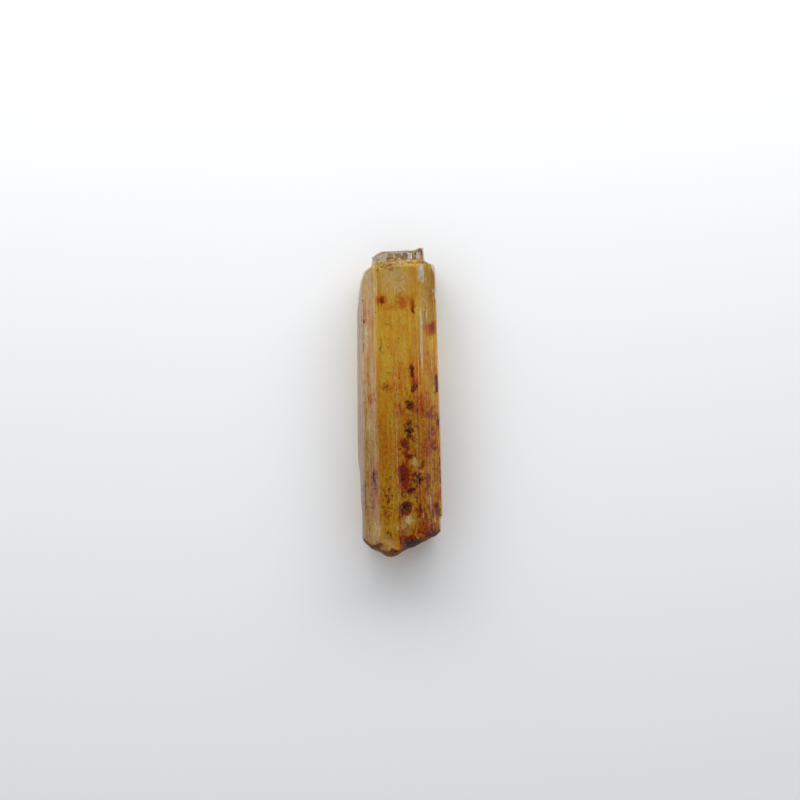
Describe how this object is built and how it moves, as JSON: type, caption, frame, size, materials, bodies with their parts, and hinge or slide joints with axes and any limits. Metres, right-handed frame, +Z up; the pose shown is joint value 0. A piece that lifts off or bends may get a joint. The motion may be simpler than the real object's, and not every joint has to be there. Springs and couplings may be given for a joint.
{
  "type": "topaz crystal",
  "caption": "Rough amber topaz prism with lengthwise striations, iron-stained inclusions, a stepped cleavage with a ledge at one end and an uneven break at the other.",
  "frame": {"origin": "under the centre of the bounding box, on the surface the crystal lies on", "axes": "+Y along the crystal's long axis towards the end with the ledge, +X across it towards the deeply grooved flank, +Z up from the prism face it lies on"},
  "size_m": [0.0082, 0.03, 0.006],
  "materials": {
    "amber_topaz": "vitreous and see-through, with satin growth striations and matt broken ends"
  },
  "bodies": {
    "root": {"topaz_crystal": "amber_topaz"}
  },
  "joints": []
}
